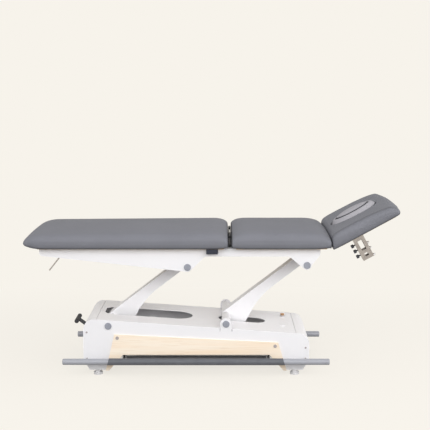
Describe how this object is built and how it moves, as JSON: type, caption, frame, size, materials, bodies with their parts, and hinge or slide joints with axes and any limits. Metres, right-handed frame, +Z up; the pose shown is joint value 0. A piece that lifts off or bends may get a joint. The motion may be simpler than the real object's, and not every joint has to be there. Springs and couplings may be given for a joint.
{
  "type": "physiotherapy table",
  "caption": "Motor-lifted physiotherapy table with hinged leg and head sections, a face opening, parallel lifting arms, foot bars along a hollow base and a pedal for transport wheels",
  "frame": {"origin": "on the floor under the middle of the bounding box", "axes": "+X from the foot end to the head end, +Y to the far side, +Z up"},
  "size_m": [1.952, 0.6508, 0.9169],
  "materials": {
    "white_paint": "semi-gloss cool white powder coat",
    "birch": "satin pale birch with long grain",
    "plywood": "raw plywood",
    "grey_cover": "matt grey upholstery cover",
    "pale_cover": "matt pale grey upholstery cover",
    "steel": "bright zinc-plated steel",
    "dull_nickel": "dull nickel-plated steel",
    "grey_plastic": "matt mid grey",
    "black_plastic": "matt black",
    "black_metal": "satin black paint",
    "foot_plastic": "matt light grey",
    "brass_key": "worn brass",
    "black_rubber": "matt black rubber",
    "bar_metal": "satin light grey coat",
    "dark_sleeve": "matt dark grey grip sleeve",
    "dark_fabric": "plain dark woven tab"
  },
  "bodies": {
    "base": {"base_side_near": "white_paint", "base_side_far": "white_paint", "base_cover": "white_paint", "base_end_foot": "white_paint", "base_end_head": "white_paint", "wood_panel_near": "birch", "wood_panel_far": "birch", "base_screws": "dull_nickel", "base_frame": "white_paint", "levelling_feet": "foot_plastic", "lower_shafts": "steel", "lower_caps": "grey_plastic", "actuator_housing": "grey_plastic", "control_box": "black_plastic", "lock_ring": "steel", "cover_socket": "foot_plastic", "base_bearings": "steel"},
    "actuator_rod": {"actuator_rod": "steel"},
    "lock_key": {"lock_key": "brass_key"},
    "foot_bar_near": {"foot_bar_near": "bar_metal", "bar_sleeve_near": "dark_sleeve", "bar_rocker_near": "white_paint"},
    "foot_bar_far": {"foot_bar_far": "bar_metal", "bar_sleeve_far": "dark_sleeve", "bar_rocker_far": "white_paint"},
    "wheel_pedal": {"pedal_lever": "black_metal", "pedal_grip": "black_rubber"},
    "wheel_near": {"transport_wheel_near": "black_rubber"},
    "wheel_far": {"transport_wheel_far": "black_rubber"},
    "lift_arm_foot": {"lift_arm_foot": "white_paint"},
    "lift_arm_head": {"lift_arm_head": "white_paint"},
    "top_frame": {"side_beam_near": "white_paint", "side_beam_far": "white_paint", "frame_cross_tubes": "white_paint", "upper_shafts": "steel", "upper_caps": "grey_plastic", "mid_board": "plywood", "mid_pad": "grey_cover", "leg_hinge_frame": "black_metal", "head_hinge_frame": "steel", "hinge_pins": "black_metal"},
    "leg_section": {"leg_board": "plywood", "leg_pad": "grey_cover", "leg_hinge_leaves": "black_metal", "pad_tab": "dark_fabric", "lever_bracket": "dull_nickel"},
    "release_lever": {"release_lever": "dull_nickel"},
    "head_section": {"head_board": "plywood", "head_pad": "grey_cover", "face_ring": "pale_cover", "head_hinge_leaves": "steel", "head_bracket": "dull_nickel", "bracket_bolts": "dull_nickel"},
    "face_plug": {"face_plug": "pale_cover"},
    "bracket_knob_1": {"bracket_knob_1": "black_plastic"},
    "bracket_knob_2": {"bracket_knob_2": "black_plastic"},
    "bracket_knob_3": {"bracket_knob_3": "black_plastic"}
  },
  "joints": [
    {"name": "lift", "type": "hinge", "parent": "base", "child": "lift_arm_foot", "pos_m": [-0.549, 0, 0.268], "axis": [0, -1, 0], "range_deg": [-27, 27]},
    {"name": "lift_head", "type": "hinge", "parent": "base", "child": "lift_arm_head", "pos_m": [0.079, 0, 0.279], "axis": [0, -1, 0], "range_deg": [-27, 27]},
    {"name": "level", "type": "hinge", "parent": "lift_arm_foot", "child": "top_frame", "pos_m": [-0.12399, 0, 0.59295], "axis": [0, -1, 0], "range_deg": [-27, 27]},
    {"name": "actuator", "type": "slide", "parent": "base", "child": "actuator_rod", "axis": [1, 0, 0], "range_m": [-0.0425, 0.0425]},
    {"name": "leg_rest", "type": "hinge", "parent": "top_frame", "child": "leg_section", "pos_m": [0.09857, 0, 0.74], "axis": [0, 1, 0], "range_deg": [0, 50]},
    {"name": "head_rest", "type": "hinge", "parent": "top_frame", "child": "head_section", "pos_m": [0.63607, 0, 0.684], "axis": [0, -1, 0], "range_deg": [-58.8, 0]},
    {"name": "release", "type": "hinge", "parent": "leg_section", "child": "release_lever", "pos_m": [-0.76743, -0.212, 0.681], "axis": [0, 1, 0], "range_deg": [0, 20], "stiffness_Nm_per_rad": 0.6},
    {"name": "bar_near", "type": "hinge", "parent": "base", "child": "foot_bar_near", "pos_m": [-0.08, -0.205, 0.088], "axis": [1, 0, 0], "range_deg": [-5, 5], "stiffness_Nm_per_rad": 220},
    {"name": "bar_far", "type": "hinge", "parent": "base", "child": "foot_bar_far", "pos_m": [-0.08, 0.205, 0.088], "axis": [1, 0, 0], "range_deg": [-5, 5], "stiffness_Nm_per_rad": 220},
    {"name": "pedal", "type": "hinge", "parent": "base", "child": "wheel_pedal", "pos_m": [-0.542, 0, 0.104], "axis": [0, -1, 0], "range_deg": [0, 25]},
    {"name": "wheel_near_spin", "type": "hinge", "parent": "wheel_pedal", "child": "wheel_near", "pos_m": [-0.599, -0.14, 0.047], "axis": [0, 1, 0], "continuous": true},
    {"name": "wheel_far_spin", "type": "hinge", "parent": "wheel_pedal", "child": "wheel_far", "pos_m": [-0.599, 0.14, 0.047], "axis": [0, 1, 0], "continuous": true},
    {"name": "lock", "type": "hinge", "parent": "base", "child": "lock_key", "pos_m": [0.4, 0.13, 0.238], "axis": [0, 0, 1], "range_deg": [0, 90]},
    {"name": "plug_lift", "type": "slide", "parent": "head_section", "child": "face_plug", "axis": [-0.4818, 0, 0.8763], "range_m": [0, 0.1]},
    {"name": "knob_1_turn", "type": "hinge", "parent": "head_section", "child": "bracket_knob_1", "pos_m": [0.77145, 0, 0.65572], "axis": [0.8763, 0, 0.4818], "continuous": true},
    {"name": "knob_2_turn", "type": "hinge", "parent": "head_section", "child": "bracket_knob_2", "pos_m": [0.78686, 0, 0.62767], "axis": [0.8763, 0, 0.4818], "continuous": true},
    {"name": "knob_3_turn", "type": "hinge", "parent": "head_section", "child": "bracket_knob_3", "pos_m": [0.80228, 0, 0.59963], "axis": [0.8763, 0, 0.4818], "continuous": true}
  ],
  "couplings": [
    {"joint": "lift_head", "follows": "lift", "ratio": 1},
    {"joint": "level", "follows": "lift", "ratio": -1},
    {"joint": "actuator", "follows": "lift", "m_per_rad": 0.09}
  ]
}
